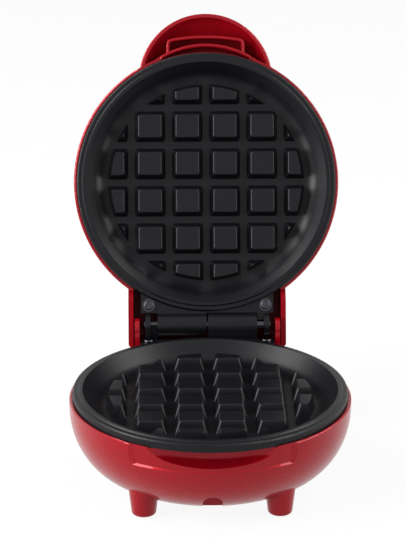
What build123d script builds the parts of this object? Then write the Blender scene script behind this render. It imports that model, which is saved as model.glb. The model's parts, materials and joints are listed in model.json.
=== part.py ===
from build123d import *
import math
import os

os.makedirs("parts", exist_ok=True)

# Mini waffle maker with two round cooking plates, shown with its lid open. Millimetres, +Z up, +X to
# the right of someone who stands in front of it, +Y towards the hinge at the back.
# Every piece is drawn about the middle of its own cooking plate, with Z = 0 at the tops of the posts
# and the cooking face upwards. The lid's pieces are then turned over, lifted to their shut place and
# swung open about the hinge, and all pieces are moved so that the opened object stands on Z = 0.

# Cooking plates, two castings alike but for the height of the hinge
FLOOR_RADIUS = 50.8  # radius of the flat floor of the dish
DISH_FLARE = 7.2  # how much wider the dish is at its rim than at its floor
RIM_RISE = 2.4  # rim above the tops of the posts
RIDGE_WIDTH = 1.5  # raised line round the dish
GROOVE_STEP = 0.6  # outer ring lies this much below the raised line
RING_WIDTH = 2.9  # outer ring, from the raised line to the side
RING_EDGE = 0.8  # rounding of the ring's outer edge
PLATE_WALL = 2.8
SKIRT_WALL = 2.2
SIDE_HEIGHT = 4.3  # rim to the bottom of the outer side
FLOOR_ROUND = 9.0  # rounding between the floor and the slope of the dish
POST_PITCH = 18.1
POST_TOP = 11.2  # width of a post's top
POST_FOOT = 14.8  # width of a post where it meets the floor
POST_HEIGHT = 5.5
POST_CORNER = 1.4
POST_EDGE = 0.8
POST_ROWS = 6
FIELD_RADIUS = 46.0  # circle that trims the outer posts, at their tops
FIELD_FLARE = 1.6  # that circle is this much wider at the floor

# Hinge
BARREL_RADIUS = 5.4
PIN_RADIUS = 2.0
PIN_LENGTH = 61.6
HINGE_HEIGHT = 5.4  # axis above the tops of the lower posts
RIM_GAP = 1.6  # between the two rims when the lid is shut
OPEN_ANGLE = 110.0
BARREL_LENGTH = 23.5
BARREL_SPLIT = 0.8  # between the two barrels
EAR_WIDTH = 2.4
EAR_OUTER = 29.8
BLOCK_GAP = 0.4  # between the barrel of one plate and the block of the other
BLOCK_DEPTH = 2.9
BLOCK_RISE = 1.1  # block above the hinge axis
BRACKET_HALF_WIDTH = 32.0
BRACKET_MARGIN = 0.8  # bracket reaches this far behind the plate's side
BRACKET_TOP = 0.3  # bracket's face above the tops of the posts
TURN_GAP = 0.4  # between a barrel and the other plate's bracket
RUN_CLEARANCE = 0.06  # pin in the lid's barrel and ear
PRESS_CLEARANCE = 0.02  # pin in the base's barrel and ear

# Shells
RIM_WALL = 1.1  # thin edge of a shell round its plate
RIM_ROUND = 0.6  # rounding of a shell's outer edge
FIT_GAP = 0.5  # between a shell's edge and its plate
SEAT_GAP = 0.3  # between a plate's side and the ledge under it
SHELL_WALL = 2.2
PLATE_SHOW = 4.0  # how much of the plate's side shows above the shell's edge
LEDGE_WIDTH = 2.9
LEDGE_THICKNESS = 2.0
BOWL_STRAIGHT = 3.9  # upright part of the bowl under its edge
BOWL_HEIGHT = 34.3  # edge to bottom
BOWL_FLAT = 40.0  # radius of the bowl's flat bottom
LID_STRAIGHT = 3.4
LID_HEIGHT = 22.4
LID_FLAT = 18.0

# Feet
FOOT_X = 30.2
FOOT_FRONT_Y = -39.0
FOOT_REAR_Y = 50.0
FOOT_CLEARANCE = 6.1  # bottom of the bowl above the table
FOOT_END_RADIUS = 5.4
FOOT_TAPER = 0.116  # growth of the radius per millimetre of height
FOOT_LENGTH = 21.6
FOOT_EDGE = 1.4
FOOT_CORE_RADIUS = 3.2
PAD_RADIUS = 3.6
PAD_PROUD = 0.4
PAD_DEPTH = 1.2
PAD_CLEARANCE = 0.1

# Front of the base: dip for a finger, shallow band under it and the notch at the bottom
SCOOP_HALF_WIDTH = 36.8
SCOOP_DIP = 7.6  # lowest point of the edge below the rest of the edge
SCOOP_DEPTH = 8.0
SCOOP_ROUND = 4.5
BAND_DEPTH = 0.7
BAND_DROP = 10.4  # bottom of the band below the edge of the shell
BAND_FADE = 3.0  # length over which the band's ends run out
BAND_STEP = 1.5  # slope of the band's lower edge
NOTCH_RADIUS = 4.3
NOTCH_RISE = 10.9  # top of the notch above the bottom of the bowl
NOTCH_BACK = -45.0

# Back of the base: block under the hinge and a cheek at each side of it
BLOCK_REACH = 63.0
BLOCK_INNER = 40.0
BLOCK_FACE_HEIGHT = 7.0
BLOCK_SLOPE_HEIGHT = 12.0
BLOCK_SLOPE_RUN = 6.0
CHEEK_GAP = 0.6  # between the lower bracket and a cheek
CHEEK_THICKNESS = 2.3
CHEEK_ROUND = 5.0
CHEEK_FORWARD = 2.0  # centre of the cheek's round end in front of the hinge axis
CHEEK_BELOW = 1.0
CHEEK_NECK = 6.2

# Back of the lid: hood round the hinge
HOOD_HALF_WIDTH = 38.0
HOOD_WALL = 2.4
HOOD_BEHIND = 11.0  # outside of the hood behind the hinge axis
HOOD_TOP_FRONT = 17.3  # hood's outside above the posts, inside the dome
HOOD_TOP_BACK = 15.5
HOOD_ROUND = 9.0
HOOD_SIDE_ROUND = 2.2
SKIRT_DIP = 0.9  # side walls reach this far past the hinge axis
HOOD_FRONT = 30.0

# Screws of the two brackets
SCREW_X = 28.2
SCREW_Y = 59.4
SCREW_RADIUS = 1.5
SCREW_LENGTH = 10.0
SCREW_HEAD_RADIUS = 3.1
SCREW_HEAD_HEIGHT = 1.8
SCREW_CLEARANCE = 0.1
SCREW_FLANGE = 0.28  # height of the head's flange, as a share of the head
SCREW_PAN = 0.76  # radius of the pan on the flange, as a share of the flange
CROSS_WIDTH = 1.0
CROSS_LENGTH = 3.7
CROSS_DEPTH = 1.1
BOSS_RADIUS = 3.3
BOSS_LENGTH = 12.0

# Handle on the front of the lid
HANDLE_RADIUS = 32.3
HANDLE_CENTRE = 49.2
HANDLE_HEIGHT = 12.5
HANDLE_STRAIGHT = 1.5
HANDLE_FLAT = 6.0
HANDLE_RIM = 1.8
HANDLE_HOLLOW = 9.0
HANDLE_EDGE = 0.7  # rounding of the handle's edge
LIP_RADIUS = 40.9  # inside of the wall that bulges out under the handle
LIP_CENTRE = 24.4
LIP_WALL = 1.7
LIP_RISE = 1.3  # lip above the edge of the shell
LIP_ROUND = 0.75
CRESCENT_HALF_WIDTH = 21.0
CRESCENT_DEPTH = 6.4
SLOT_WIDTH = 2.4
SLOT_HALF_LENGTH = 17.4
SLOT_ROUND = 1.8
SLOT_CURVE = 98.0  # radius of the slot's far side
COLLAR_WALL = 1.5  # raised rim round the slot

# Heating element, reflector and what is fixed to the back of a plate
ELEMENT_RADIUS = 33.0
TUBE_RADIUS = 3.25
TUBE_SINK = 0.55  # tube let into the back of the plate
TUBE_CLEARANCE = 0.1
ELEMENT_OPENING = 20.0  # half of the angle left open at the back, in degrees
ELEMENT_BEND = 5.0
ELEMENT_LEG = 1.6
ELEMENT_PIN_RADIUS = 1.2
ELEMENT_PIN = 2.4
RIB_WIDTH = 1.6
RIB_HEIGHT = 3.0
REFLECTOR_RADIUS = 46.0
REFLECTOR_THICKNESS = 0.6
REFLECTOR_DROP = 6.7  # from the back of the plate
REFLECTOR_RIM = 3.0
REFLECTOR_HOLE = 13.0
REFLECTOR_SCREW_CIRCLE = 21.0
REFLECTOR_SCREWS = 3
SMALL_BOSS_RADIUS = 3.0
SMALL_SCREW_RADIUS = 1.25
SMALL_SCREW_LENGTH = 5.0
SMALL_HEAD_RADIUS = 2.5
SMALL_HEAD_HEIGHT = 1.5
TONGUE_ANGLE = 55.0  # from the front, in degrees
TONGUE_WIDTH = 8.0
TONGUE_THICKNESS = 1.8
TONGUE_OVERLAP = 0.5

# Thermostat and thermal fuse under the lower plate
CAP_RADIUS = 8.5
CAP_HEIGHT = 4.0
THERMOSTAT_RADIUS = 7.5
THERMOSTAT_HEIGHT = 7.0
CAP_GAP = 0.3
STRAP_WIDTH = 9.0
STRAP_RING = 2.0  # metal round the thermostat's hole
STRAP_THICKNESS = 0.6
STRAP_SCREW_X = 11.8
BLADE_WIDTH = 6.3
BLADE_THICKNESS = 0.8
BLADE_LENGTH = 7.0
BLADE_SPACING = 8.0
FUSE_RADIUS = 2.2
FUSE_LENGTH = 12.0
FUSE_X = -4.0
FUSE_Y = -20.5
CLIP_WIDTH = 5.0
CLIP_THICKNESS = 0.5
CLIP_SCREW_X = 4.6

# Cord gland at the back
GLAND_HEIGHT = -22.0
GLAND_BOSS_RADIUS = 9.5
GLAND_PROUD = 1.2  # boss behind the housing under the hinge
GLAND_FLANGE_RADIUS = 7.8
GLAND_FLANGE = 2.4
GLAND_RADIUS = 5.6
GLAND_BORE = 3.4
GLAND_WALL = 3.0
GLAND_CLEARANCE = 0.1

# Signal lamp in the lid
LAMP_Y = -20.0
LENS_RADIUS = 3.6
LENS_FLANGE = 1.4
LENS_FLANGE_HEIGHT = 0.6
LENS_PROUD = 0.9
LENS_CLEARANCE = 0.15
LAMP_RADIUS = 1.9
LAMP_LENGTH = 11.0
LAMP_GAP = 0.3
HOLDER_WIDTH = 6.0
HOLDER_WALL = 0.8

# Worked out from the above
DISH_RADIUS = FLOOR_RADIUS + DISH_FLARE
RING_RADIUS = DISH_RADIUS + RIDGE_WIDTH
PLATE_RADIUS = RING_RADIUS + RING_WIDTH
PLATE_BACK = -POST_HEIGHT - PLATE_WALL
SIDE_BOTTOM = RIM_RISE - SIDE_HEIGHT
SEAT = SIDE_BOTTOM - SEAT_GAP
RING_TOP = RIM_RISE - GROOVE_STEP
BRACKET_REACH = PLATE_RADIUS + BRACKET_MARGIN
HINGE_Y = BRACKET_REACH + TURN_GAP + BARREL_RADIUS
PLATE_GAP = 2 * RIM_RISE + RIM_GAP
LID_HINGE_HEIGHT = PLATE_GAP - HINGE_HEIGHT
SHELL_EDGE = RIM_RISE - PLATE_SHOW
POCKET_RADIUS = PLATE_RADIUS + FIT_GAP
SHELL_RADIUS = POCKET_RADIUS + RIM_WALL
BOWL_BOTTOM = SHELL_EDGE - BOWL_HEIGHT
TABLE = BOWL_BOTTOM - FOOT_CLEARANCE
LEDGE_RADIUS = POCKET_RADIUS - LEDGE_WIDTH
CHEEK_INNER = BRACKET_HALF_WIDTH + CHEEK_GAP
CHEEK_OUTER = CHEEK_INNER + CHEEK_THICKNESS
HOOD_REACH = HINGE_Y + HOOD_BEHIND
TUBE_CENTRE = PLATE_BACK + TUBE_SINK - TUBE_RADIUS
GLAND_BOSS_REACH = BLOCK_REACH + GLAND_PROUD
REFLECTOR_TOP = PLATE_BACK - REFLECTOR_DROP
REFLECTOR_BACK = REFLECTOR_TOP - REFLECTOR_THICKNESS
TALL = 60.0  # longer than any cut needs to be


def block(x0, x1, y0, y1, z0, z1):
    """A box between two corners."""
    return Pos((x0 + x1) / 2, (y0 + y1) / 2, (z0 + z1) / 2) * Box(x1 - x0, y1 - y0, z1 - z0)


def rod(radius, z0, z1, x=0.0, y=0.0):
    """An upright cylinder."""
    return Pos(x, y, (z0 + z1) / 2) * Cylinder(radius, z1 - z0)


def rod_x(radius, x0, x1, y, z):
    """A cylinder along X."""
    return Pos((x0 + x1) / 2, y, z) * Rot(0, 90, 0) * Cylinder(radius, x1 - x0)


def rod_y(radius, y0, y1, x, z):
    """A cylinder along Y."""
    return Pos(x, (y0 + y1) / 2, z) * Rot(90, 0, 0) * Cylinder(radius, y1 - y0)


def turned(points):
    """A solid of revolution about Z from an outline of (radius, height) points."""
    return revolve(Plane.XZ * make_face(Polyline(*points, close=True)), Axis.Z)


def side_slab(points, x0, x1, corner=None, radius=0.0):
    """An outline of (y, z) points, one corner of it rounded if asked, between two places on X."""
    face = make_face(Polyline(*points, close=True))
    if corner is not None:
        face = fillet(face.vertices().sort_by_distance((corner[0], corner[1], 0))[0], radius)
    return Pos(x0, 0, 0) * extrude(Plane.YZ * face, x1 - x0)


def cup(radius, flat, edge, straight, height, wall=0.0, above=0.0, rounding=0.0):
    """The outside of a round shell that opens upwards or, with a wall, its hollow."""
    side = radius - wall - flat
    shoulder = edge - straight
    bottom = edge - height + wall
    curve = EllipticalCenterArc((flat, shoulder), side, shoulder - bottom, start_angle=270, arc_size=90)
    top = edge + above
    rest = Polyline((radius - wall, shoulder), (radius - wall, top), (0, top), (0, bottom), (flat, bottom))
    face = make_face([curve, rest])
    if rounding:
        face = fillet(face.vertices().sort_by_distance((radius - wall, top, 0))[0], rounding)
    return revolve(Plane.XZ * face, Axis.Z)


def post():
    """One post, standing on the floor at the origin."""
    lower = Pos(0, 0, -POST_HEIGHT) * RectangleRounded(POST_FOOT, POST_FOOT, POST_CORNER)
    upper = RectangleRounded(POST_TOP, POST_TOP, POST_CORNER)
    body = loft([lower, upper])
    return fillet(body.faces().sort_by(Axis.Z)[-1].edges(), POST_EDGE)


def post_field():
    """All the posts, the outer ones trimmed by a cone."""
    cone = Cone(FIELD_RADIUS + FIELD_FLARE, FIELD_RADIUS, POST_HEIGHT)
    trim = Pos(0, 0, -POST_HEIGHT / 2) * cone
    whole = post()
    corner = POST_TOP / 2 * math.sqrt(2)
    posts = []
    for column in range(POST_ROWS):
        for row in range(POST_ROWS):
            x = (column - (POST_ROWS - 1) / 2) * POST_PITCH
            y = (row - (POST_ROWS - 1) / 2) * POST_PITCH
            copy = Pos(x, y, 0) * whole
            if math.hypot(x, y) + corner > FIELD_RADIUS:
                copy = copy & trim
            if copy is not None:
                posts += [solid for solid in copy.solids() if solid.volume > 1.0]
    return posts


def hinge_stem(axis_height, x0, x1):
    """Arm from the bracket to the round part about the hinge axis."""
    angle = math.radians(-OPEN_ANGLE)
    touch = (HINGE_Y + BARREL_RADIUS * math.cos(angle), axis_height + BARREL_RADIUS * math.sin(angle))
    front = BRACKET_REACH - BRACKET_MARGIN + FIT_GAP / 2
    points = [(front, SIDE_BOTTOM), (BRACKET_REACH, SIDE_BOTTOM), touch]
    points += [(HINGE_Y, axis_height), (front, axis_height)]
    arm = side_slab(points, x0, x1)
    return arm + rod_x(BARREL_RADIUS, x0, x1, HINGE_Y, axis_height)


def hinge_block(axis_height, x0, x1):
    """Square block between the ear and the bracket."""
    near = BRACKET_REACH + TURN_GAP + 0.1
    far = near + BLOCK_DEPTH
    angle = math.radians(-OPEN_ANGLE)
    touch_y = HINGE_Y + BARREL_RADIUS * math.cos(angle)
    touch_z = axis_height + BARREL_RADIUS * math.sin(angle)
    low = SIDE_BOTTOM + (touch_z - SIDE_BOTTOM) * (far - BRACKET_REACH) / (touch_y - BRACKET_REACH)
    front = BRACKET_REACH - BRACKET_MARGIN + FIT_GAP / 2
    points = [(front, SIDE_BOTTOM), (BRACKET_REACH, SIDE_BOTTOM), (far, low), (far, axis_height + BLOCK_RISE)]
    points += [(near, axis_height + BLOCK_RISE), (near, BRACKET_TOP), (front, BRACKET_TOP)]
    return side_slab(points, x0, x1)


def plate(axis_height, bore_clearance):
    """A cooking plate as cast: dish, posts, back, bracket and its half of the hinge."""
    slope = math.hypot(DISH_FLARE, POST_HEIGHT + RIM_RISE)
    back_run = PLATE_WALL * slope / (POST_HEIGHT + RIM_RISE)
    skirt_inside = PLATE_RADIUS - SKIRT_WALL
    rise = (POST_HEIGHT + RIM_RISE) / DISH_FLARE
    under = RING_TOP - PLATE_WALL + 0.3
    meet = FLOOR_RADIUS + back_run + (under + POST_HEIGHT) / rise
    turn = FLOOR_RADIUS + back_run + (PLATE_BACK + POST_HEIGHT) / rise
    outline = [(0, -POST_HEIGHT), (FLOOR_RADIUS, -POST_HEIGHT), (DISH_RADIUS, RIM_RISE)]
    outline += [(RING_RADIUS, RIM_RISE), (RING_RADIUS + GROOVE_STEP, RING_TOP), (PLATE_RADIUS, RING_TOP)]
    outline += [(PLATE_RADIUS, SIDE_BOTTOM), (skirt_inside, SIDE_BOTTOM), (skirt_inside, under)]
    outline += [(meet, under), (turn, PLATE_BACK), (0, PLATE_BACK)]
    face = make_face(Polyline(*outline, close=True))
    face = fillet(face.vertices().sort_by_distance((PLATE_RADIUS, RING_TOP, 0))[0], RING_EDGE)
    face = fillet(face.vertices().sort_by_distance((FLOOR_RADIUS, -POST_HEIGHT, 0))[0], FLOOR_ROUND)
    body = revolve(Plane.XZ * face, Axis.Z)
    extras = post_field()

    bracket = block(-BRACKET_HALF_WIDTH, BRACKET_HALF_WIDTH, 0, BRACKET_REACH, SIDE_BOTTOM, BRACKET_TOP)
    extras.append(bracket - rod(PLATE_RADIUS - RING_EDGE, SIDE_BOTTOM - 1, BRACKET_TOP + 1))
    start = BARREL_SPLIT / 2
    extras.append(hinge_stem(axis_height, start, start + BARREL_LENGTH))
    extras.append(hinge_stem(axis_height, -EAR_OUTER, EAR_WIDTH - EAR_OUTER))
    extras.append(hinge_block(axis_height, -EAR_OUTER, -start - BARREL_LENGTH - BLOCK_GAP))

    rib_in = ELEMENT_RADIUS - TUBE_RADIUS - RIB_WIDTH
    rib_out = ELEMENT_RADIUS + TUBE_RADIUS + RIB_WIDTH
    rib = rod(rib_out, PLATE_BACK - RIB_HEIGHT, PLATE_BACK) - rod(rib_in, PLATE_BACK - RIB_HEIGHT, PLATE_BACK)
    extras.append(rib)
    for x, y in reflector_screw_places():
        extras.append(rod(SMALL_BOSS_RADIUS, REFLECTOR_TOP, PLATE_BACK, x, y))
    for side in (-1, 1):
        reach = LEDGE_RADIUS + TONGUE_OVERLAP
        top = SEAT - LEDGE_THICKNESS - SEAT_GAP
        half = TONGUE_WIDTH / 2
        tongue = block(-half, half, -reach, -FLOOR_RADIUS, top - TONGUE_THICKNESS, top)
        extras.append(Rot(0, 0, side * TONGUE_ANGLE) * tongue)
    body = body.fuse(*[solid for extra in extras for solid in ShapeList([extra]).solids()])

    groove = Pos(0, 0, TUBE_CENTRE) * Torus(ELEMENT_RADIUS, TUBE_RADIUS + TUBE_CLEARANCE)
    body -= groove
    gap = block(-TALL, TALL, 0, TALL, PLATE_BACK - RIB_HEIGHT - 1, PLATE_BACK)
    half = math.radians(ELEMENT_OPENING)
    width = ELEMENT_RADIUS * math.sin(half) + ELEMENT_BEND + TUBE_RADIUS
    body -= gap & block(-width, width, rib_in - 1, rib_out + 1, -TALL, TALL)
    for x, y in reflector_screw_places():
        body -= rod(SMALL_SCREW_RADIUS + PRESS_CLEARANCE, REFLECTOR_TOP - 1, PLATE_BACK - 1, x, y)
    for side in (-1, 1):
        body -= rod(SCREW_RADIUS + SCREW_CLEARANCE, -TALL, TALL, side * SCREW_X, SCREW_Y)
    body -= rod_x(PIN_RADIUS + bore_clearance, -TALL, TALL, HINGE_Y, axis_height)
    return body


def reflector_screw_places():
    """Places of the screws that hold the reflector, the first one at the back."""
    step = 2 * math.pi / REFLECTOR_SCREWS
    first = math.pi / 2
    angles = [first + step * number for number in range(REFLECTOR_SCREWS)]
    return [(REFLECTOR_SCREW_CIRCLE * math.cos(a), REFLECTOR_SCREW_CIRCLE * math.sin(a)) for a in angles]


def heating_element():
    """Sheathed tube bent to an open ring, with both ends turned away from the plate."""
    start = 90 + ELEMENT_OPENING
    section = Plane.XZ * Pos(ELEMENT_RADIUS, TUBE_CENTRE) * Circle(TUBE_RADIUS)
    ring = Rot(0, 0, start) * revolve(section, Axis.Z, revolution_arc=360 - 2 * ELEMENT_OPENING)
    for angle, sense in ((start, 1), (90 - ELEMENT_OPENING, -1)):
        turn = Rot(0, 0, angle)
        pivot = Axis((0, 0, TUBE_CENTRE - ELEMENT_BEND), (sense, 0, 0))
        ring += turn * revolve(section, pivot, revolution_arc=90)
        y = -sense * ELEMENT_BEND
        low = TUBE_CENTRE - ELEMENT_BEND - ELEMENT_LEG
        ring += turn * rod(TUBE_RADIUS, low, low + ELEMENT_LEG, ELEMENT_RADIUS, y)
        ring += turn * rod(ELEMENT_PIN_RADIUS, low - ELEMENT_PIN, low, ELEMENT_RADIUS, y)
    return ring


def element_legs():
    """Places where the two ends of the heating element point away from the plate."""
    places = []
    for angle, sense in ((90 + ELEMENT_OPENING, 1), (90 - ELEMENT_OPENING, -1)):
        a = math.radians(angle)
        x = ELEMENT_RADIUS * math.cos(a) + sense * ELEMENT_BEND * math.sin(a)
        y = ELEMENT_RADIUS * math.sin(a) - sense * ELEMENT_BEND * math.cos(a)
        places.append((x, y))
    return places


def reflector():
    """Pressed pan that throws the heat back at the plate."""
    outer = rod(REFLECTOR_RADIUS, REFLECTOR_BACK, REFLECTOR_TOP + REFLECTOR_RIM)
    outer -= rod(REFLECTOR_RADIUS - REFLECTOR_THICKNESS, REFLECTOR_TOP, REFLECTOR_TOP + REFLECTOR_RIM + 1)
    outer -= rod(REFLECTOR_HOLE, REFLECTOR_BACK - 1, REFLECTOR_TOP + 1)
    for x, y in reflector_screw_places():
        outer -= rod(SMALL_SCREW_RADIUS + SCREW_CLEARANCE, REFLECTOR_BACK - 1, REFLECTOR_TOP + 1, x, y)
    for x, y in element_legs():
        outer -= rod(TUBE_RADIUS + 4 * TUBE_CLEARANCE, REFLECTOR_BACK - 1, REFLECTOR_TOP + 1, x, y)
    return outer


def screw(radius, length, head_radius, head_height, x, y, z, down=True):
    """Flanged pan head screw with a cross recess. Its head stands on the height z."""
    head = rod(head_radius * SCREW_PAN, 0, head_height)
    head = fillet(head.faces().sort_by(Axis.Z)[-1].edges(), head_height * 0.35)
    head += rod(head_radius, 0, head_height * SCREW_FLANGE)
    body = head + rod(radius, -length, 0)
    cross = block(-CROSS_LENGTH / 2, CROSS_LENGTH / 2, -CROSS_WIDTH / 2, CROSS_WIDTH / 2, 0, TALL)
    cross += Rot(0, 0, 90) * cross
    scale_down = head_radius / SCREW_HEAD_RADIUS
    body -= Pos(0, 0, head_height - CROSS_DEPTH * scale_down) * scale(cross, (scale_down, scale_down, 1))
    turn = Rot(0, 0, 0) if down else Rot(180, 0, 0)
    return Pos(x, y, z) * turn * body


def bracket_screws():
    """The two screws that hold a plate to its shell, seen beside the hinge."""
    args = (SCREW_RADIUS, SCREW_LENGTH, SCREW_HEAD_RADIUS, SCREW_HEAD_HEIGHT)
    return [screw(*args, side * SCREW_X, SCREW_Y, BRACKET_TOP) for side in (-1, 1)]


def reflector_screws():
    """The screws that hold a reflector, put in from the back."""
    args = (SMALL_SCREW_RADIUS, SMALL_SCREW_LENGTH, SMALL_HEAD_RADIUS, SMALL_HEAD_HEIGHT)
    return [screw(*args, x, y, REFLECTOR_BACK, down=False) for x, y in reflector_screw_places()]


def plate_room():
    """Space that a plate takes in its shell, with its clearances."""
    gap = SEAT_GAP + 0.1
    slope = (POST_HEIGHT + RIM_RISE) / DISH_FLARE
    back = PLATE_BACK - gap
    turn = FLOOR_RADIUS + PLATE_WALL * math.hypot(1, slope) / slope + (back + POST_HEIGHT) / slope
    high = turn + (SEAT - back) / slope
    points = [(0, TALL), (POCKET_RADIUS, TALL), (POCKET_RADIUS, SEAT), (high + gap, SEAT)]
    points += [(turn + gap, back), (0, back)]
    return turned(points)


def ledge():
    """Ring inside a shell on which the plate's side stands."""
    ring = rod(POCKET_RADIUS, SEAT - LEDGE_THICKNESS, SEAT)
    return ring - rod(LEDGE_RADIUS, SEAT - LEDGE_THICKNESS - 1, SEAT + 1)


def scoop(wall=0.0):
    """Round dip in the front edge of the base, or with a wall its inside."""
    radius = (SCOOP_HALF_WIDTH**2 + SCOOP_DIP**2) / (2 * SCOOP_DIP)
    centre = SHELL_EDGE - SCOOP_DIP + radius
    back = -SHELL_RADIUS + SCOOP_DEPTH + wall
    disc = rod_y(radius + wall, back - TALL, back, 0, centre)
    return fillet(disc.faces().sort_by(Axis.Y)[-1].edges(), SCOOP_ROUND + wall)


def band():
    """Shallow recess below the dip. Its ends run out softly and its lower edge slopes."""
    low = SHELL_EDGE - BAND_DROP
    reach = BAND_DEPTH * 4
    far = SHELL_RADIUS + reach
    near = SHELL_RADIUS - reach
    top = SHELL_EDGE + 1
    drop = BAND_STEP * reach
    ring = turned([(near, top), (far, top), (far, low - drop), (near, low + drop)])
    ring -= cup(SHELL_RADIUS, BOWL_FLAT, SHELL_EDGE, BOWL_STRAIGHT, BOWL_HEIGHT, BAND_DEPTH, 2)
    end = math.asin(SCOOP_HALF_WIDTH / SHELL_RADIUS)
    start = end - BAND_FADE / SHELL_RADIUS
    inner = SHELL_RADIUS - BAND_DEPTH
    corners = [(SHELL_RADIUS * math.sin(end), -SHELL_RADIUS * math.cos(end))]
    corners.append((inner * math.sin(start), -inner * math.cos(start)))
    corners += [(-x, y) for x, y in reversed(corners)]
    corners += [(corners[-1][0], -far), (corners[0][0], -far)]
    window = make_face(Polyline(*corners, close=True))
    return ring & Pos(0, 0, low - drop) * extrude(window, top - low + drop)


def notch(wall=0.0):
    """Arched notch under the front of the base, or with a wall its inside."""
    radius = NOTCH_RADIUS + wall
    centre = BOWL_BOTTOM + NOTCH_RISE - NOTCH_RADIUS
    back = NOTCH_BACK + wall
    front = -SHELL_RADIUS - wall
    return rod_y(radius, front, back, 0, centre) + block(-radius, radius, front, back, -TALL, centre)


def foot(x, y):
    """A tapered foot, solid."""
    low = TABLE + PAD_PROUD
    top_radius = FOOT_END_RADIUS + FOOT_TAPER * FOOT_LENGTH
    body = Cone(FOOT_END_RADIUS, top_radius, FOOT_LENGTH)
    body = fillet(body.faces().sort_by(Axis.Z)[0].edges(), FOOT_EDGE)
    return Pos(x, y, low + FOOT_LENGTH / 2) * body


def foot_places():
    """Name, x and y of each foot."""
    places = []
    for end, y in (("front", FOOT_FRONT_Y), ("rear", FOOT_REAR_Y)):
        for side, x in (("left", -FOOT_X), ("right", FOOT_X)):
            places.append((end + "_" + side, x, y))
    return places


def rear_block(wall=0.0):
    """Housing under the hinge, or with a wall its hollow."""
    reach = BLOCK_REACH - wall
    top = SEAT - wall
    face_low = SEAT - BLOCK_FACE_HEIGHT
    low = face_low - BLOCK_SLOPE_HEIGHT + wall
    points = [(BLOCK_INNER, top), (reach, top), (reach, face_low)]
    points += [(reach - BLOCK_SLOPE_RUN, low), (BLOCK_INNER, low)]
    half = CHEEK_OUTER - wall
    return side_slab(points, -half, half)


def cheek(x0):
    """Upright tongue beside the hinge, part of the base shell."""
    cy = HINGE_Y - CHEEK_FORWARD
    cz = HINGE_HEIGHT - CHEEK_BELOW
    angle = math.radians(-OPEN_ANGLE)
    touch = (cy + CHEEK_ROUND * math.cos(angle), cz + CHEEK_ROUND * math.sin(angle))
    low = SEAT - BLOCK_FACE_HEIGHT
    points = [(BLOCK_INNER, low), (BLOCK_REACH, low), (BLOCK_REACH, SEAT), touch, (cy, cz)]
    points += [(cy - CHEEK_ROUND, cz), (cy - CHEEK_NECK, SHELL_EDGE), (BLOCK_INNER, SHELL_EDGE)]
    slab = side_slab(points, x0, x0 + CHEEK_THICKNESS)
    return slab + rod_x(CHEEK_ROUND, x0, x0 + CHEEK_THICKNESS, cy, cz)


def boss(x, y, low, high):
    """Round boss for a bracket screw."""
    return rod(BOSS_RADIUS, low, high, x, y)


def base_shell():
    """Bowl with its feet, finger dip, band, notch, hinge block and cheeks."""
    outer = cup(SHELL_RADIUS, BOWL_FLAT, SHELL_EDGE, BOWL_STRAIGHT, BOWL_HEIGHT, rounding=RIM_ROUND)
    outer -= band()
    outer -= scoop()
    outer -= notch()
    for _, x, y in foot_places():
        outer += foot(x, y)
    outer += rear_block()
    for x0 in (-CHEEK_OUTER, CHEEK_INNER):
        outer += cheek(x0)
    outer += rod_y(GLAND_BOSS_RADIUS, BLOCK_INNER, GLAND_BOSS_REACH, 0, GLAND_HEIGHT)

    hollow = cup(SHELL_RADIUS, BOWL_FLAT, SHELL_EDGE, BOWL_STRAIGHT, BOWL_HEIGHT, SHELL_WALL, 1)
    hollow += rear_block(SHELL_WALL)
    inner_end = GLAND_BOSS_REACH - GLAND_WALL
    hollow += rod_y(GLAND_BOSS_RADIUS - SHELL_WALL, BLOCK_INNER, inner_end, 0, GLAND_HEIGHT)
    hollow -= scoop(SHELL_WALL)
    hollow -= notch(SHELL_WALL)
    hollow -= ledge()
    for side in (-1, 1):
        hollow -= boss(side * SCREW_X, SCREW_Y, SEAT - BOSS_LENGTH, SEAT)
    pad_top = TABLE + PAD_PROUD + PAD_DEPTH
    for _, x, y in foot_places():
        hollow += rod(FOOT_CORE_RADIUS, pad_top + SHELL_WALL, BOWL_BOTTOM + FOOT_LENGTH / 2, x, y)
        hollow += rod(PAD_RADIUS + PAD_CLEARANCE, TABLE - 1, pad_top, x, y)
    hollow += plate_room()
    room = BRACKET_HALF_WIDTH + FIT_GAP
    hollow += block(-room, room, SCREW_Y - BRACKET_MARGIN * 10, TALL * 2, SEAT, TALL)
    hollow += rod_y(GLAND_RADIUS + GLAND_CLEARANCE, BLOCK_INNER, TALL * 2, 0, GLAND_HEIGHT)
    for side in (-1, 1):
        hollow += rod(SCREW_RADIUS + PRESS_CLEARANCE, SEAT - SCREW_LENGTH, SEAT + 1, side * SCREW_X, SCREW_Y)
    return outer - hollow


def foot_pad(x, y):
    """Rubber pad let into a foot."""
    pad = rod(PAD_RADIUS, TABLE, TABLE + PAD_PROUD + PAD_DEPTH, x, y)
    return chamfer(pad.faces().sort_by(Axis.Z)[0].edges(), PAD_PROUD / 2)


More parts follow.
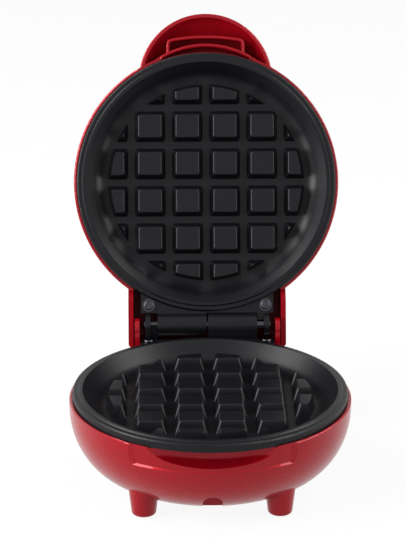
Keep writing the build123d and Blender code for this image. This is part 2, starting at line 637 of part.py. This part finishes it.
def hood(wall=0.0):
    """Housing at the back of the lid that goes round the hinge, or with a wall its hollow."""
    half = HOOD_HALF_WIDTH - wall
    reach = HOOD_REACH - wall
    front_top = -HOOD_TOP_FRONT + wall
    back_top = -HOOD_TOP_BACK + wall
    low = LID_HINGE_HEIGHT + SKIRT_DIP
    if wall:
        points = [(HOOD_FRONT, TALL), (HOOD_FRONT, front_top), (reach, back_top), (reach, TALL)]
        return side_slab(points, -half, half, (reach, back_top), HOOD_ROUND - wall)
    front = HINGE_Y - HOOD_BEHIND - 1
    points = [(HOOD_FRONT, SHELL_EDGE), (HOOD_FRONT, front_top), (reach, back_top), (reach, low)]
    points += [(front, low), (front - 5, SHELL_EDGE)]
    body = side_slab(points, -half, half, (reach, back_top), HOOD_ROUND)
    top = [edge for edge in body.edges() if edge.center().Z < -HOOD_TOP_BACK + HOOD_ROUND / 2]
    chain = [edge for edge in top if abs(abs(edge.center().X) - half) < 0.01 and edge.center().Y > HOOD_FRONT]
    back = [edge for edge in body.edges() if abs(edge.center().Y - reach) < 0.01]
    chain += [edge for edge in back if abs(abs(edge.center().X) - half) < 0.01]
    return fillet(chain, HOOD_SIDE_ROUND)


def lip():
    """Raised round edge between the plate and the hollow of the handle."""
    low = SHELL_EDGE - CRESCENT_DEPTH
    high = SHELL_EDGE + LIP_RISE
    ring = rod(LIP_RADIUS + LIP_WALL, low, high, 0, -LIP_CENTRE)
    ring -= rod(LIP_RADIUS, low - 1, high + 1, 0, -LIP_CENTRE)
    half = CRESCENT_HALF_WIDTH + LIP_WALL / 2
    ring &= block(-half, half, -TALL * 2, -HANDLE_CENTRE, low, high)
    return fillet(ring.faces().sort_by(Axis.Z)[-1].edges(), LIP_ROUND)


def slot_outline(grow=0.0):
    """Outline of the slot at the handle's root, made larger by grow. Its near side is behind the lip."""
    far = LIP_RADIUS + LIP_WALL + SLOT_WIDTH + grow
    outline = Pos(0, -LIP_CENTRE - far / 2, 0) * Rectangle(2 * (SLOT_HALF_LENGTH + grow), far)
    outline &= Pos(0, SLOT_CURVE + grow - LIP_CENTRE - far, 0) * Circle(SLOT_CURVE + grow)
    return fillet(outline.vertices().sort_by(Axis.Y)[:2], SLOT_ROUND + grow)


def slot_collar():
    """Raised rim round the slot between the lip and the hollow of the handle."""
    ring = slot_outline(COLLAR_WALL) - slot_outline()
    high = SHELL_EDGE + LIP_RISE / 2
    collar = extrude(Pos(0, 0, SHELL_EDGE - TALL) * ring, TALL - SHELL_EDGE + high)
    collar = fillet(collar.faces().sort_by(Axis.Z)[-1].edges(), COLLAR_WALL / 3)
    size = (HANDLE_RADIUS, HANDLE_FLAT, SHELL_EDGE, HANDLE_STRAIGHT, HANDLE_HEIGHT)
    collar &= Pos(0, -HANDLE_CENTRE, 0) * cup(*size, above=LIP_RISE)
    return collar - rod(LIP_RADIUS + LIP_WALL / 2, -TALL, TALL, 0, -LIP_CENTRE)


def handle_cut():
    """Hollow under the handle and the crescent beside the plate."""
    hollow = Pos(0, -HANDLE_CENTRE, 0) * cup(
        HANDLE_RADIUS, HANDLE_FLAT, SHELL_EDGE, HANDLE_STRAIGHT / 2, HANDLE_HOLLOW + HANDLE_RIM, HANDLE_RIM, 1
    )
    keep = rod(SHELL_RADIUS, -TALL, TALL)
    lip = rod(LIP_RADIUS + LIP_WALL, -TALL, TALL, 0, -LIP_CENTRE)
    hollow = hollow - keep - lip
    crescent = rod(LIP_RADIUS, SHELL_EDGE - CRESCENT_DEPTH, SHELL_EDGE + 1, 0, -LIP_CENTRE)
    crescent -= rod(POCKET_RADIUS, -TALL, TALL)
    half = CRESCENT_HALF_WIDTH
    crescent &= block(-half, half, -TALL * 2, -HANDLE_CENTRE, -TALL, TALL)
    return [hollow, crescent]


def lens_place():
    """Heights of the outside and the inside of the lid where the lens goes through it."""
    drop = LID_HEIGHT - LID_STRAIGHT
    side = SHELL_RADIUS - LID_FLAT
    run = max(abs(LAMP_Y) - LID_FLAT, 0)
    outside = SHELL_EDGE - LID_STRAIGHT - drop * math.sqrt(1 - (run / side) ** 2)
    return outside, outside + SHELL_WALL


def lid_shell():
    """Dome with its handle, hood and bosses, cooking side upwards."""
    outer = cup(SHELL_RADIUS, LID_FLAT, SHELL_EDGE, LID_STRAIGHT, LID_HEIGHT, rounding=RIM_ROUND)
    outer += hood()
    size = (HANDLE_RADIUS, HANDLE_FLAT, SHELL_EDGE, HANDLE_STRAIGHT, HANDLE_HEIGHT)
    outer += Pos(0, -HANDLE_CENTRE, 0) * cup(*size, rounding=HANDLE_EDGE)

    hollow = cup(SHELL_RADIUS, LID_FLAT, SHELL_EDGE, LID_STRAIGHT, LID_HEIGHT, SHELL_WALL, 1)
    hollow -= ledge()
    hollow += hood(HOOD_WALL)
    for side in (-1, 1):
        hollow -= boss(side * SCREW_X, SCREW_Y, -TALL, SEAT)
    hollow += plate_room()
    for side in (-1, 1):
        hollow += rod(SCREW_RADIUS + PRESS_CLEARANCE, SEAT - SCREW_LENGTH, SEAT + 1, side * SCREW_X, SCREW_Y)
    inner = HOOD_HALF_WIDTH - HOOD_WALL
    hollow += block(-inner, inner, HINGE_Y, TALL * 2, LID_HINGE_HEIGHT, TALL)
    for cut in handle_cut():
        hollow += cut
    outside, inside = lens_place()
    hollow += rod(LENS_RADIUS + LENS_CLEARANCE, outside - 2, inside + 2, 0, LAMP_Y)
    return (outer - hollow) + lip() + slot_collar()


def indicator_lens():
    """Round jewel in the top of the lid, with a flange inside."""
    outside, inside = lens_place()
    shaft = rod(LENS_RADIUS, outside - LENS_PROUD, inside + 0.5, 0, LAMP_Y)
    shaft = fillet(shaft.faces().sort_by(Axis.Z)[0].edges(), LENS_PROUD * 0.8)
    low = inside + SEAT_GAP
    return shaft + rod(LENS_RADIUS + LENS_FLANGE, low, low + LENS_FLANGE_HEIGHT, 0, LAMP_Y)


def lamp_height():
    """Height of the middle of the signal lamp."""
    return REFLECTOR_BACK - LAMP_GAP - HOLDER_WALL - LAMP_RADIUS


def signal_lamp():
    """Small glow lamp that lies across the lid behind the lens."""
    tube = rod_x(LAMP_RADIUS, -LAMP_LENGTH / 2, LAMP_LENGTH / 2, LAMP_Y, lamp_height())
    return fillet(tube.faces().sort_by(Axis.X)[0].edges(), LAMP_RADIUS * 0.8)


def lamp_holder():
    """Saddle on the reflector that the lamp lies in."""
    centre = lamp_height()
    half = HOLDER_WIDTH / 2
    body = block(-half, half, LAMP_Y - half, LAMP_Y + half, centre, REFLECTOR_BACK)
    return body - rod_x(LAMP_RADIUS + LAMP_GAP / 3, -TALL, TALL, LAMP_Y, centre)


def thermostat():
    """Disc thermostat with a metal cap towards the plate and two blades."""
    top = PLATE_BACK - CAP_GAP
    body = rod(CAP_RADIUS, top - CAP_HEIGHT, top)
    low = top - CAP_HEIGHT - THERMOSTAT_HEIGHT
    body += rod(THERMOSTAT_RADIUS, low, top - CAP_HEIGHT)
    for side in (-1, 1):
        y = side * BLADE_SPACING / 2
        half = BLADE_THICKNESS / 2
        body += block(-BLADE_WIDTH / 2, BLADE_WIDTH / 2, y - half, y + half, low - BLADE_LENGTH, low)
    return body


def thermostat_strap():
    """Strap that presses the thermostat to the plate."""
    top = PLATE_BACK - CAP_GAP - CAP_HEIGHT
    half = STRAP_SCREW_X + STRAP_WIDTH / 3
    strap = block(-half, half, -STRAP_WIDTH / 2, STRAP_WIDTH / 2, top - STRAP_THICKNESS, top)
    strap += rod(THERMOSTAT_RADIUS + STRAP_RING, top - STRAP_THICKNESS, top)
    strap -= rod(THERMOSTAT_RADIUS + SCREW_CLEARANCE, top - 2, top + 1)
    for side in (-1, 1):
        strap -= rod(SMALL_SCREW_RADIUS + SCREW_CLEARANCE, top - 2, top + 1, side * STRAP_SCREW_X)
    return strap


def strap_posts():
    """Bosses on the back of the lower plate for the strap and for the fuse clip."""
    posts = []
    for side in (-1, 1):
        posts.append((side * STRAP_SCREW_X, 0.0, PLATE_BACK - CAP_GAP - CAP_HEIGHT))
    posts.append((FUSE_X + CLIP_SCREW_X + FUSE_RADIUS, FUSE_Y, PLATE_BACK - FUSE_RADIUS))
    return posts


def small_screw(x, y, z):
    """Screw that is put in from the back."""
    args = (SMALL_SCREW_RADIUS, SMALL_SCREW_LENGTH - 1, SMALL_HEAD_RADIUS, SMALL_HEAD_HEIGHT)
    return screw(*args, x, y, z, down=False)


def thermal_fuse():
    """Fuse in its sleeve, lying against the back of the lower plate."""
    z = PLATE_BACK - CAP_GAP / 3 - FUSE_RADIUS
    return rod_y(FUSE_RADIUS, FUSE_Y - FUSE_LENGTH / 2, FUSE_Y + FUSE_LENGTH / 2, FUSE_X, z)


def fuse_clip():
    """Sprung strip that holds the fuse."""
    z = PLATE_BACK - CAP_GAP / 3 - FUSE_RADIUS
    inner = FUSE_RADIUS + CAP_GAP / 3
    outer = inner + CLIP_THICKNESS
    y0 = FUSE_Y - CLIP_WIDTH / 2
    y1 = FUSE_Y + CLIP_WIDTH / 2
    foot_top = PLATE_BACK - FUSE_RADIUS
    arch = rod_y(outer, y0, y1, FUSE_X, z) & block(-TALL, TALL, -TALL, TALL, -TALL, foot_top)
    end = FUSE_X + CLIP_SCREW_X + FUSE_RADIUS + SMALL_HEAD_RADIUS
    tab = block(FUSE_X, end, y0, y1, foot_top - CLIP_THICKNESS, foot_top)
    clip = (arch + tab) - rod_y(inner, y0 - 1, y1 + 1, FUSE_X, z)
    screw_x = FUSE_X + CLIP_SCREW_X + FUSE_RADIUS
    return clip - rod(SMALL_SCREW_RADIUS + SCREW_CLEARANCE, -TALL, TALL, screw_x, FUSE_Y)


def cord_gland():
    """Bush in the back wall of the base where the cord would go in."""
    back = GLAND_BOSS_REACH + PRESS_CLEARANCE
    body = rod_y(GLAND_RADIUS, back - GLAND_WALL - GLAND_FLANGE, back, 0, GLAND_HEIGHT)
    flange = rod_y(GLAND_FLANGE_RADIUS, back, back + GLAND_FLANGE, 0, GLAND_HEIGHT)
    body += fillet(flange.faces().sort_by(Axis.Y)[-1].edges(), GLAND_FLANGE / 2)
    return body - rod_y(GLAND_BORE, 0, TALL * 2, 0, GLAND_HEIGHT)


def gland_nut():
    """Ring nut that holds the bush from inside."""
    back = GLAND_BOSS_REACH - GLAND_WALL - PRESS_CLEARANCE
    ring = rod_y(GLAND_BOSS_RADIUS - SHELL_WALL - 0.3, back - GLAND_FLANGE, back, 0, GLAND_HEIGHT)
    return ring - rod_y(GLAND_RADIUS + PRESS_CLEARANCE, 0, TALL * 2, 0, GLAND_HEIGHT)


def hinge_pin():
    """Steel pin through both barrels and both ears."""
    half = PIN_LENGTH / 2
    pin = rod_x(PIN_RADIUS, -half, half, HINGE_Y, HINGE_HEIGHT)
    ends = pin.faces().sort_by(Axis.X)
    return chamfer(ends[0].edges() + ends[-1].edges(), PIN_RADIUS / 5)


def lower_plate():
    """The base's plate, with bosses for the thermostat and the fuse."""
    body = plate(HINGE_HEIGHT, PRESS_CLEARANCE)
    for x, y, low in strap_posts():
        body += rod(SMALL_BOSS_RADIUS - 0.4, low, PLATE_BACK, x, y)
    for x, y, low in strap_posts():
        body -= rod(SMALL_SCREW_RADIUS + PRESS_CLEARANCE, low - 1, low + SMALL_SCREW_LENGTH - 1, x, y)
    return body


def upper_plate():
    """The lid's plate."""
    return plate(LID_HINGE_HEIGHT, RUN_CLEARANCE)


def base_pieces():
    """Every piece that stands on the table, by name."""
    pieces = {"base_shell": [base_shell()], "lower_plate": [lower_plate()]}
    for name, x, y in foot_places():
        pieces["foot_pad_" + name] = [foot_pad(x, y)]
    pieces["hinge_pin"] = [hinge_pin()]
    pieces["lower_plate_screws"] = bracket_screws()
    pieces["lower_heating_element"] = [heating_element()]
    pieces["lower_heat_reflector"] = [reflector()]
    pieces["lower_reflector_screws"] = reflector_screws()
    pieces["thermostat"] = [thermostat()]
    pieces["thermostat_strap"] = [thermostat_strap()]
    strap_low = PLATE_BACK - CAP_GAP - CAP_HEIGHT - STRAP_THICKNESS
    pieces["thermostat_screws"] = [small_screw(s * STRAP_SCREW_X, 0, strap_low) for s in (-1, 1)]
    pieces["thermal_fuse"] = [thermal_fuse()]
    pieces["fuse_clip"] = [fuse_clip()]
    clip_low = PLATE_BACK - FUSE_RADIUS - CLIP_THICKNESS
    pieces["fuse_clip_screw"] = [small_screw(FUSE_X + CLIP_SCREW_X + FUSE_RADIUS, FUSE_Y, clip_low)]
    pieces["cord_gland"] = [cord_gland()]
    pieces["gland_nut"] = [gland_nut()]
    return pieces


def lid_pieces():
    """Every piece that swings, by name, each with its cooking side upwards."""
    pieces = {"lid_shell": [lid_shell()], "upper_plate": [upper_plate()]}
    pieces["upper_plate_screws"] = bracket_screws()
    pieces["upper_heating_element"] = [heating_element()]
    pieces["upper_heat_reflector"] = [reflector()]
    pieces["upper_reflector_screws"] = reflector_screws()
    pieces["indicator_lens"] = [indicator_lens()]
    pieces["indicator_lamp"] = [signal_lamp()]
    pieces["lamp_holder"] = [lamp_holder()]
    return pieces


def swung_open():
    """Move from the drawing place of a lid piece to its place in the open lid."""
    shut = Pos(0, 0, PLATE_GAP) * Rot(0, 180, 0)
    swing = Pos(0, HINGE_Y, HINGE_HEIGHT) * Rot(-OPEN_ANGLE, 0, 0) * Pos(0, -HINGE_Y, -HINGE_HEIGHT)
    return swing * shut


def main():
    """Draw the pieces, stand them on the table and write one file for each."""
    placed = base_pieces()
    for name, solids in lid_pieces().items():
        placed[name] = [swung_open() * solid for solid in solids]
    outside = [solid.bounding_box() for solids in placed.values() for solid in solids]
    low_y = min(box.min.Y for box in outside)
    high_y = max(box.max.Y for box in outside)
    stand = Pos(0, -(low_y + high_y) / 2, -TABLE)
    print("moved along Y by", round(-(low_y + high_y) / 2, 4), "and up by", -TABLE)
    for name, solids in placed.items():
        moved = [stand * solid for solid in solids]
        compound = Compound(children=moved) if len(moved) > 1 else moved[0]
        export_step(compound, "parts/" + name + ".step")


main()
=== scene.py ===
import json
import math

import bpy
from mathutils import Matrix, Vector


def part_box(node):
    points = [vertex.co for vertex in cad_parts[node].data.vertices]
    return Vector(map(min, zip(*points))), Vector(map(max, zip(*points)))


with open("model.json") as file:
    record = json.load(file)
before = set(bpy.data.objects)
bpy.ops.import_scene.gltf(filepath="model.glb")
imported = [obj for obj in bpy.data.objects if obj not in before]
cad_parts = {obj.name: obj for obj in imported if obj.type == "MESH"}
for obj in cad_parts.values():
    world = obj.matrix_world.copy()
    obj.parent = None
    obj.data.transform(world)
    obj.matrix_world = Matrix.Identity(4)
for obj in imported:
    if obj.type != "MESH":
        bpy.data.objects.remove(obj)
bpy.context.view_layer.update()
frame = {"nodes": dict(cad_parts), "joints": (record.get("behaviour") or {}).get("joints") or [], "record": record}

# Mini waffle maker, opened. Metres. The hinge runs along X at the back, the user stands at -Y.

MM = 0.001
OPEN_ANGLE = math.radians(110.0)
HINGE = Vector(frame["joints"][0]["pos_m"])

# Camera as fitted to the photograph, about the middle of the lower plate's face
CAMERA_AZIMUTH = math.radians(-1.05)
CAMERA_ELEVATION = math.radians(20.07)
CAMERA_DISTANCE = 1004.7 * MM
CAMERA_RIGHT = -3.07 * MM
CAMERA_UP = 54.26 * MM
CAMERA_LENS = 146.4  # mm, for a frame as high as FRAME_HEIGHT
FRAME_HEIGHT = 36.0  # mm
CAMERA_REACH = 20.0  # metres, the far end of what the camera draws
FACE_HEIGHT = 42.0 * MM  # tops of the lower posts above the table

# Lid, as shut, from the middle of the lower plate's face
DOME_RADIUS = 63.9 * MM
DOME_MIDDLE = 9.0 * MM
HANDLE_MIDDLE = 52.0 * MM
HOOD_BELOW = 30.0 * MM  # below the hinge axis, so the hood's edge counts as its inside and takes its painted shade

# Patterns, in millimetres. A real paint flake is about 0.05 mm across and a pit of a blasted or
# moulded face about 0.1 mm. Both are drawn several times coarser, or they wouldn't show, and so
# are the grains of the metals and of the moulded pieces in finish_nodes.
PAINT_FLAKE = 0.35
PAINT_MOTTLE = 30.0
ORANGE_PEEL, ORANGE_PEEL_DEPTH = 2.5, 0.004
PAINTED_SHADE_CLOUD = 9.0
COATING_GRAIN, COATING_GRAIN_DEPTH = 0.5, 0.05
COATING_CLOUD = 18.0
MOTTLE_IN_GRAINS = 6  # a metal's mottling, as a number of its grains

# Room, floor and lamps
WHITE = (1.0, 1.0, 1.0, 1.0)
ROOM_LIGHT = 0.3  # strength of the room's light on things
FLOOR_SIZE = 8.0
FLOOR_GLOW = 0.92  # share of plain white in the floor that the camera sees
LAMP_TARGET = Vector((0.0, 0.0, 0.07))
LAMPS = (  # name, place, width and height, watts
    ("key_softbox", (-0.95, -0.4, 0.45), (0.6, 0.9), 21.0),
    ("fill_softbox", (0.95, -0.35, 0.4), (0.4, 0.8), 7.0),
    ("top_left_softbox", (-0.7, 0.1, 0.8), (0.4, 0.4), 5.0),
    ("top_right_softbox", (0.7, 0.1, 0.8), (0.4, 0.4), 4.0),
)


def plate_middle():
    """Middle of the lower plate, at the height of its post tops. The plate is round and its bracket
    only adds to its back, so the middle is half its width behind its front edge."""
    low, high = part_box("lower_plate")
    return Vector((0.0, low.y + (high.x - low.x) / 2, FACE_HEIGHT))


def colour(code):
    """Linear colour from an sRGB hex value."""
    channels = [int(code[i:i + 2], 16) / 255 for i in (1, 3, 5)]
    linear = [c / 12.92 if c <= 0.04045 else ((c + 0.055) / 1.055) ** 2.4 for c in channels]
    return (*linear, 1.0)


def add_node(tree, kind, links=(), **settings):
    """Adds a shader node, sets its properties and sockets, and links (socket, source) pairs."""
    node = tree.nodes.new(kind)
    sockets = settings.pop("sockets", {})
    for name, value in settings.items():
        setattr(node, name, value)
    for name, value in sockets.items():
        node.inputs[name].default_value = value
    for name, source in links:
        tree.links.new(source, node.inputs[name])
    return node


def new_material(name):
    """Empty material with its output, and the tree to build in."""
    material = bpy.data.materials.new(name)
    material.use_nodes = True
    tree = material.node_tree
    tree.nodes.clear()
    return material, tree, tree.nodes.new("ShaderNodeOutputMaterial")


def object_place(tree):
    """Object coordinates, in metres."""
    return tree.nodes.new("ShaderNodeTexCoord").outputs["Object"]


def noise(tree, place, size_mm, detail=2.0):
    """Cloudy pattern whose blobs are about size_mm across."""
    sockets = {"Scale": 1.0 / (size_mm * MM), "Detail": detail}
    return add_node(tree, "ShaderNodeTexNoise", [("Vector", place)], sockets=sockets).outputs["Fac"]


def spread(tree, value, low, high, source_low=0.0, source_high=1.0):
    """Maps a pattern to a range."""
    sockets = {"From Min": source_low, "From Max": source_high, "To Min": low, "To Max": high}
    node = add_node(tree, "ShaderNodeMapRange", [("Value", value)], sockets=sockets)
    return node.outputs["Result"]


def bumps(tree, height, depth_mm):
    """Normal from a height pattern."""
    sockets = {"Distance": depth_mm * MM}
    return add_node(tree, "ShaderNodeBump", [("Height", height)], sockets=sockets).outputs["Normal"]


def two_tones(tree, factor, low, high):
    """Blend of two colours."""
    mix = add_node(tree, "ShaderNodeMix", [("Factor", factor)], data_type="RGBA")
    mix.inputs["A"].default_value = colour(low)
    mix.inputs["B"].default_value = colour(high)
    return mix.outputs["Result"]


def surface(tree, output, links, sockets):
    """Principled surface of a material."""
    shader = add_node(tree, "ShaderNodeBsdfPrincipled", links, sockets=sockets)
    tree.links.new(shader.outputs["BSDF"], output.inputs["Surface"])


def candy_red_paint():
    """Metallic red paint under a clear coat on moulded ABS: deep red body, fine flakes, and a hard
    white reflection that grows towards the outline."""
    material, tree, output = new_material("candy_red_paint")
    place = object_place(tree)
    flake = add_node(tree, "ShaderNodeTexVoronoi", [("Vector", place)],
                     sockets={"Scale": 1.0 / (PAINT_FLAKE * MM)})
    red = two_tones(tree, flake.outputs["Color"], "#78020d", "#920416")
    rough = spread(tree, noise(tree, place, PAINT_MOTTLE), 0.28, 0.36)
    orange_peel = bumps(tree, noise(tree, place, ORANGE_PEEL), ORANGE_PEEL_DEPTH)
    sockets = {"Metallic": 0.35, "IOR": 1.5, "Specular IOR Level": 0.1,
               "Coat Weight": 0.5, "Coat Roughness": 0.06, "Coat IOR": 1.38}
    links = [("Base Color", red), ("Roughness", rough), ("Coat Normal", orange_peel)]
    surface(tree, output, links, sockets)
    return material


def painted_shade_red():
    """Red ABS, darker and with no clear coat over it: painted shade on the faces inside the hood and the handle."""
    material, tree, output = new_material("thin_red_overspray_on_abs")
    place = object_place(tree)
    cloud = noise(tree, place, PAINTED_SHADE_CLOUD, 3.0)
    # Painted shade: these darker reds stand for the shade inside the hollows
    red = two_tones(tree, cloud, "#6a020b", "#800311")
    rough = spread(tree, cloud, 0.26, 0.36)
    sockets = {"IOR": 1.4, "Specular IOR Level": 0.12}
    links = [("Base Color", red), ("Roughness", rough)]
    surface(tree, output, links, sockets)
    return material


def nonstick_coating():
    """Black PTFE coating sprayed on blasted die-cast aluminium: satin, slightly grainy, with broad
    grey reflections on the slopes."""
    material, tree, output = new_material("nonstick_coating_on_cast_aluminium")
    place = object_place(tree)
    grain = noise(tree, place, COATING_GRAIN, 3.0)
    cloud = noise(tree, place, COATING_CLOUD)
    # The noise seldom leaves its middle, so that part of it is stretched over both tones
    specks = spread(tree, grain, 0.0, 1.0, 0.42, 0.72)
    black = two_tones(tree, specks, "#040406", "#0f1116")
    rough = spread(tree, cloud, 0.32, 0.42)
    normal = bumps(tree, grain, COATING_GRAIN_DEPTH)
    sockets = {"IOR": 1.35, "Specular IOR Level": 0.38}
    links = [("Base Color", black), ("Roughness", rough), ("Normal", normal)]
    surface(tree, output, links, sockets)
    return material


def metal(name, low, high, rough_low, rough_high, grain_mm, depth_mm):
    """A metal with slight mottling and grain."""
    material, tree, output = new_material(name)
    place = object_place(tree)
    grain = noise(tree, place, grain_mm, 3.0)
    tone = two_tones(tree, grain, low, high)
    mottle = noise(tree, place, grain_mm * MOTTLE_IN_GRAINS)
    rough = spread(tree, mottle, rough_low, rough_high)
    links = [("Base Color", tone), ("Roughness", rough), ("Normal", bumps(tree, grain, depth_mm))]
    surface(tree, output, links, {"Metallic": 1.0})
    return material


def moulded(name, low, high, rough, grain_mm, depth_mm, **extra):
    """A rubber, plastic, ceramic or glass with a fine surface grain."""
    material, tree, output = new_material(name)
    place = object_place(tree)
    grain = noise(tree, place, grain_mm, 3.0)
    tone = two_tones(tree, grain, low, high)
    links = [("Base Color", tone), ("Normal", bumps(tree, grain, depth_mm))]
    surface(tree, output, links, {"Roughness": rough, **extra})
    return material


def finish_nodes():
    """Gives every CAD piece the finish of its real material, and the lid's inner faces a painted shade."""
    paint = candy_red_paint()
    coating = nonstick_coating()
    # Moulded rubber: dull, dark grey at its brightest, with a fine grain
    rubber = moulded("moulded_rubber", "#0c0c0d", "#1a1a1b", 0.75, 0.4, 0.03)
    # Drawn steel pin, oiled and handled: dark, with a narrow bright streak along it
    pin = metal("drawn_steel", "#3c3c3f", "#56565a", 0.25, 0.35, 0.4, 0.002)
    # Black oxide on steel screws: near black, with a bright ring where the head is rounded
    oxide = metal("black_oxide_steel", "#36363a", "#505057", 0.18, 0.28, 0.3, 0.004)
    # Annealed steel tube of the elements: brownish and dull from heat
    sheath = metal("annealed_steel_sheath", "#4c4a44", "#6c6860", 0.4, 0.55, 0.6, 0.006)
    # Aluminised steel sheet: pale, with soft spangled reflections
    sheet = metal("aluminised_steel_sheet", "#a9abac", "#c9cbcc", 0.28, 0.4, 0.8, 0.003)
    # Zinc on small steel screws: light grey and fairly bright
    zinc = metal("zinc_plated_steel", "#8f9296", "#b9bcc0", 0.28, 0.4, 0.5, 0.003)
    # Phenolic, woven glass, nylon and ceramic: the plain dull faces of the inner fittings
    phenolic = moulded("moulded_phenolic", "#15110e", "#261f1a", 0.45, 0.4, 0.01)
    sleeve = moulded("woven_glass_sleeve", "#c9c6ba", "#efece2", 0.85, 0.4, 0.08)
    plastic = moulded("moulded_black_nylon", "#0e0e10", "#1c1c1f", 0.5, 0.4, 0.01)
    ceramic = moulded("fired_ceramic", "#cfcabd", "#e6e2d6", 0.7, 0.3, 0.01)
    # Polycarbonate and glass: clear, hard and smooth, with sharp reflections
    half_clear = {"Transmission Weight": 0.5, "IOR": 1.58}
    lens = moulded("clear_red_polycarbonate", "#b3120c", "#c41a12", 0.08, 3.0, 0.001, **half_clear)
    clear = {"Transmission Weight": 1.0, "IOR": 1.5}
    glass = moulded("soda_glass", "#f4f4f2", "#ffffff", 0.03, 3.0, 0.001, **clear)
    finishes = {
        "red_paint": paint,
        "nonstick_casting": coating,
        "pad_rubber": rubber,
        "gland_rubber": rubber,
        "pin_steel": pin,
        "black_screw": oxide,
        "element_sheath": sheath,
        "reflector_sheet": sheet,
        "plain_screw": zinc,
        "thermostat_body": phenolic,
        "fuse_sleeve": sleeve,
        "black_plastic": plastic,
        "ceramic_holder": ceramic,
        "lens_plastic": lens,
        "lamp_glass": glass,
    }
    for part in frame["record"]["subparts"]:
        mesh = frame["nodes"][part["node"]].data
        mesh.materials.clear()
        mesh.materials.append(finishes[part["material_slot"]])
    # Painted shade: the faces inside the lid's hollows and the hood's edge take a darker, uncoated red
    shade_inner_faces(frame["nodes"]["lid_shell"], painted_shade_red())


def shade_inner_faces(shell, painted_shade):
    """Gives the faces inside the lid's dome, hood and handle the darker red of painted shade. A face is inside if
    it looks towards the middle of its hollow, with the lid turned shut."""
    turn = Matrix.Rotation(OPEN_ANGLE, 4, "X")
    shut = Matrix.Translation(HINGE) @ turn @ Matrix.Translation(-HINGE)
    to_shut = shut @ shell.matrix_world
    middle = plate_middle()
    dome = middle + Vector((0, 0, DOME_MIDDLE))
    handle = middle + Vector((0, -HANDLE_MIDDLE, DOME_MIDDLE))
    hood = HINGE - Vector((0, 0, HOOD_BELOW))
    shell.data.materials.append(painted_shade)
    painted_shade_slot = len(shell.data.materials) - 1
    for face in shell.data.polygons:
        place = to_shut @ face.center
        normal = to_shut.to_3x3() @ face.normal
        across = place - middle
        inside = dome
        if across.to_2d().length > DOME_RADIUS:
            inside = hood if across.y > 0 else handle
        if normal.dot(place - inside) < 0:
            face.material_index = painted_shade_slot


def set_camera():
    """Camera at the photograph's viewing angle."""
    sin_a, cos_a = math.sin(CAMERA_AZIMUTH), math.cos(CAMERA_AZIMUTH)
    sin_e, cos_e = math.sin(CAMERA_ELEVATION), math.cos(CAMERA_ELEVATION)
    back = Vector((sin_a * cos_e, -cos_a * cos_e, sin_e))
    right = Vector((cos_a, sin_a, 0.0))
    up = back.cross(right)
    data = bpy.data.cameras.new("photo_camera")
    data.sensor_fit = "VERTICAL"
    data.sensor_height = FRAME_HEIGHT
    data.lens = CAMERA_LENS
    data.clip_end = CAMERA_REACH
    camera = bpy.data.objects.new("photo_camera", data)
    bpy.context.scene.collection.objects.link(camera)
    place = plate_middle() + back * CAMERA_DISTANCE + right * CAMERA_RIGHT + up * CAMERA_UP
    turn = Matrix((right, up, back)).transposed().to_4x4()
    camera.matrix_world = Matrix.Translation(place) @ turn
    bpy.context.scene.camera = camera


def seen_or_mirrored(tree):
    """1 for what the camera, a reflection or clear glass sees, 0 for light that falls on things."""
    path = tree.nodes.new("ShaderNodeLightPath")
    seen = path.outputs["Is Camera Ray"]
    for kind in ("Is Glossy Ray", "Is Transmission Ray"):
        either = add_node(tree, "ShaderNodeMath", operation="MAXIMUM")
        tree.links.new(seen, either.inputs[0])
        tree.links.new(path.outputs[kind], either.inputs[1])
        seen = either.outputs[0]
    return seen


def blend(tree, share, first, second, output):
    """Mix of two shaders, with a share of the second one, as the surface of the output."""
    mix = add_node(tree, "ShaderNodeMixShader", [("Fac", share)])
    tree.links.new(first.outputs[0], mix.inputs[1])
    tree.links.new(second.outputs[0], mix.inputs[2])
    tree.links.new(mix.outputs[0], output.inputs["Surface"])


def set_room():
    """Room that looks white, and lights things softly."""
    scene = bpy.context.scene
    scene.view_settings.view_transform = "Standard"
    world = bpy.data.worlds.new("white_room")
    scene.world = world
    world.use_nodes = True
    tree = world.node_tree
    tree.nodes.clear()
    light = add_node(tree, "ShaderNodeBackground", sockets={"Color": WHITE, "Strength": ROOM_LIGHT})
    white = add_node(tree, "ShaderNodeBackground", sockets={"Color": WHITE, "Strength": 1.0})
    output = tree.nodes.new("ShaderNodeOutputWorld")
    blend(tree, seen_or_mirrored(tree), light, white, output)


def set_floor():
    """Floor that looks nearly white and still takes a faint shadow."""
    bpy.ops.object.select_all(action="DESELECT")
    bpy.ops.mesh.primitive_plane_add(size=FLOOR_SIZE, location=(0, 0, 0))
    floor = bpy.context.object
    floor.name = "floor"
    material, tree, output = new_material("pale_floor")
    matt = add_node(tree, "ShaderNodeBsdfDiffuse", sockets={"Color": colour("#e8e8e8")})
    glow = add_node(tree, "ShaderNodeEmission", sockets={"Color": WHITE, "Strength": 1.0})
    share = add_node(tree, "ShaderNodeMath", operation="MULTIPLY")
    tree.links.new(seen_or_mirrored(tree), share.inputs[0])
    share.inputs[1].default_value = FLOOR_GLOW
    blend(tree, share.outputs[0], matt, glow, output)
    floor.data.materials.append(material)


def set_lamps():
    """Four soft lamps, the strongest one at the left."""
    for name, place, (width, height), power in LAMPS:
        data = bpy.data.lights.new(name, "AREA")
        data.shape = "RECTANGLE"
        data.size = width
        data.size_y = height
        data.energy = power
        lamp = bpy.data.objects.new(name, data)
        bpy.context.scene.collection.objects.link(lamp)
        aim = LAMP_TARGET - Vector(place)
        lamp.rotation_euler = aim.to_track_quat("-Z", "Y").to_euler()
        lamp.location = place


set_camera()
set_room()
set_floor()
set_lamps()
finish_nodes()
